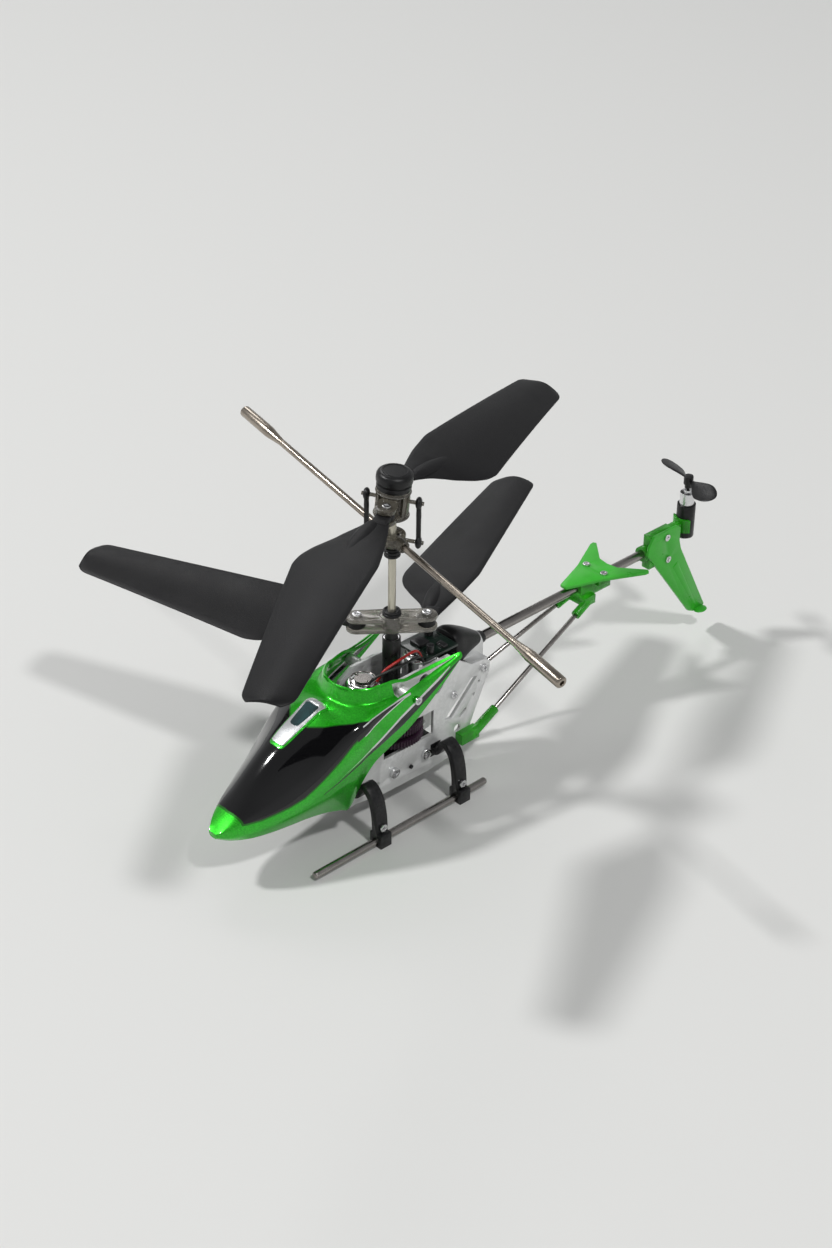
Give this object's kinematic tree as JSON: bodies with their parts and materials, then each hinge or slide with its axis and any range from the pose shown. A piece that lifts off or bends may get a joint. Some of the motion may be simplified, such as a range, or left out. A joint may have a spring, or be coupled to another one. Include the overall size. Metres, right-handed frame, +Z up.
{
  "type": "remote control helicopter",
  "caption": "Small coaxial remote control helicopter with an alloy side-plate frame, stacked folding rotors, a tilting flybar, a gloss canopy and a boom with a vertical tail rotor.",
  "frame": {"origin": "on the ground under the rotor mast's axis", "axes": "+Z up along the mast, -Y towards the nose, +Y along the tail boom, +X to the right as seen from the nose looking along +Y, which is the side that node names call right"},
  "size_m": [0.1592, 0.2197, 0.1047],
  "materials": {
    "alloy": "satin",
    "steel": "satin",
    "bright_steel": "polished",
    "flybar_steel": "satin",
    "shaft": "satin",
    "black_plastic": "satin",
    "black_rubber": "matte",
    "blade": "fine grain",
    "smoke": "translucent",
    "paint": "metallic gloss",
    "green_clear": "translucent",
    "green_matte": "satin",
    "gear": "satin",
    "brass": "satin",
    "board": "satin",
    "chips": "satin",
    "battery": "satin",
    "wires": "satin",
    "knob": "satin",
    "lens": "clear"
  },
  "bodies": {
    "airframe": {"left_side_plate": "alloy", "right_side_plate": "alloy", "lower_bridge": "black_plastic", "frame_screws": "bright_steel", "motor_deck": "black_plastic", "shaft_bearings": "bright_steel", "front_motor": "bright_steel", "rear_motor": "bright_steel", "battery_tray": "black_plastic", "battery": "battery", "circuit_board": "board", "board_components": "chips", "switch_block": "black_plastic", "charge_socket": "black_plastic", "nose_light": "lens", "motor_wires": "wires", "canopy": "paint", "canopy_posts": "alloy", "canopy_screws": "bright_steel", "left_skid": "steel", "right_skid": "steel", "front_leg": "black_plastic", "rear_leg": "black_plastic", "skid_screws": "bright_steel", "boom_clamp": "alloy", "boom_cover": "black_rubber", "tail_boom": "steel", "left_support_rod": "steel", "right_support_rod": "steel", "left_rod_bracket": "green_clear", "right_rod_bracket": "green_clear", "stabiliser_clamp": "green_clear", "stabiliser": "green_matte", "fin_clamp": "green_clear", "fin": "green_matte", "tail_screws": "bright_steel", "motor_sleeve": "black_plastic", "tail_motor": "bright_steel"},
    "front_pinion": {"front_pinion": "brass"},
    "rear_pinion": {"rear_pinion": "brass"},
    "tail_rotor": {"tail_propeller": "black_plastic"},
    "power_switch": {"switch_knob": "knob"},
    "upper_rotor": {"inner_shaft": "shaft", "inner_gear": "gear", "head_pin": "bright_steel"},
    "rotor_head": {"rotor_head": "smoke", "head_cap": "black_plastic", "head_screws": "bright_steel"},
    "upper_blade_a": {"upper_blade_a": "blade"},
    "upper_blade_b": {"upper_blade_b": "blade"},
    "flybar": {"flybar_hub": "smoke", "flybar": "flybar_steel"},
    "left_link": {"left_link": "black_plastic"},
    "right_link": {"right_link": "black_plastic"},
    "lower_rotor": {"outer_shaft": "black_plastic", "outer_gear": "gear", "lower_hub": "smoke", "lower_screws": "bright_steel"},
    "lower_blade_a": {"lower_blade_a": "blade"},
    "lower_blade_b": {"lower_blade_b": "blade"}
  },
  "joints": [
    {"name": "lower_rotor_spin", "type": "hinge", "parent": "airframe", "child": "lower_rotor", "pos_m": [0, 0, 0.0567], "axis": [0, 0, 1], "continuous": true},
    {"name": "upper_rotor_spin", "type": "hinge", "parent": "airframe", "child": "upper_rotor", "pos_m": [0, 0, 0.0836], "axis": [0, 0, 1], "continuous": true},
    {"name": "front_motor_spin", "type": "hinge", "parent": "airframe", "child": "front_pinion", "pos_m": [0, -0.0108, 0.03], "axis": [0, 0, 1], "continuous": true},
    {"name": "rear_motor_spin", "type": "hinge", "parent": "airframe", "child": "rear_pinion", "pos_m": [0, 0.0108, 0.03], "axis": [0, 0, 1], "continuous": true},
    {"name": "tail_rotor_spin", "type": "hinge", "parent": "airframe", "child": "tail_rotor", "pos_m": [0, 0.1245, 0.05], "axis": [0, 0, 1], "continuous": true},
    {"name": "power_switch_slide", "type": "slide", "parent": "airframe", "child": "power_switch", "axis": [0, 1, 0], "range_m": [0, 0.0026]},
    {"name": "flybar_tilt", "type": "hinge", "parent": "upper_rotor", "child": "flybar", "pos_m": [0, 0, 0.0836], "axis": [0.1149, 0.9934, 0], "range_deg": [-21.1, 8.9]},
    {"name": "head_tilt", "type": "hinge", "parent": "upper_rotor", "child": "rotor_head", "pos_m": [0, 0, 0.0958], "axis": [-0.5736, 0.8192, 0], "range_deg": [-16.08, 6.96]},
    {"name": "left_link_rise", "type": "slide", "parent": "upper_rotor", "child": "left_link", "axis": [0, 0, 1], "range_m": [-0.00203, 0.00089]},
    {"name": "right_link_rise", "type": "slide", "parent": "upper_rotor", "child": "right_link", "axis": [0, 0, 1], "range_m": [-0.00089, 0.00203]},
    {"name": "lower_blade_a_lag", "type": "hinge", "parent": "lower_rotor", "child": "lower_blade_a", "pos_m": [0.0061, 0.00754, 0.0567], "axis": [0, 0, 1], "range_deg": [-141.6, 8.4]},
    {"name": "lower_blade_b_lag", "type": "hinge", "parent": "lower_rotor", "child": "lower_blade_b", "pos_m": [-0.0061, -0.00754, 0.0567], "axis": [0, 0, 1], "range_deg": [-46.2, 103.8]},
    {"name": "upper_blade_a_lag", "type": "hinge", "parent": "rotor_head", "child": "upper_blade_a", "pos_m": [-0.00516, 0.00737, 0.0958], "axis": [0.0651, 0.0456, 0.9968], "range_deg": [-42, 53]},
    {"name": "upper_blade_b_lag", "type": "hinge", "parent": "rotor_head", "child": "upper_blade_b", "pos_m": [0.00516, -0.00737, 0.0958], "axis": [0.0651, 0.0456, 0.9968], "range_deg": [-53.7, 41.3]}
  ],
  "couplings": [
    {"joint": "front_motor_spin", "follows": "upper_rotor_spin", "ratio": -5},
    {"joint": "rear_motor_spin", "follows": "lower_rotor_spin", "ratio": -5},
    {"joint": "head_tilt", "follows": "flybar_tilt", "ratio": 0.7478},
    {"joint": "left_link_rise", "follows": "flybar_tilt", "m_per_rad": 0.0053841},
    {"joint": "right_link_rise", "follows": "flybar_tilt", "m_per_rad": -0.0053841}
  ]
}
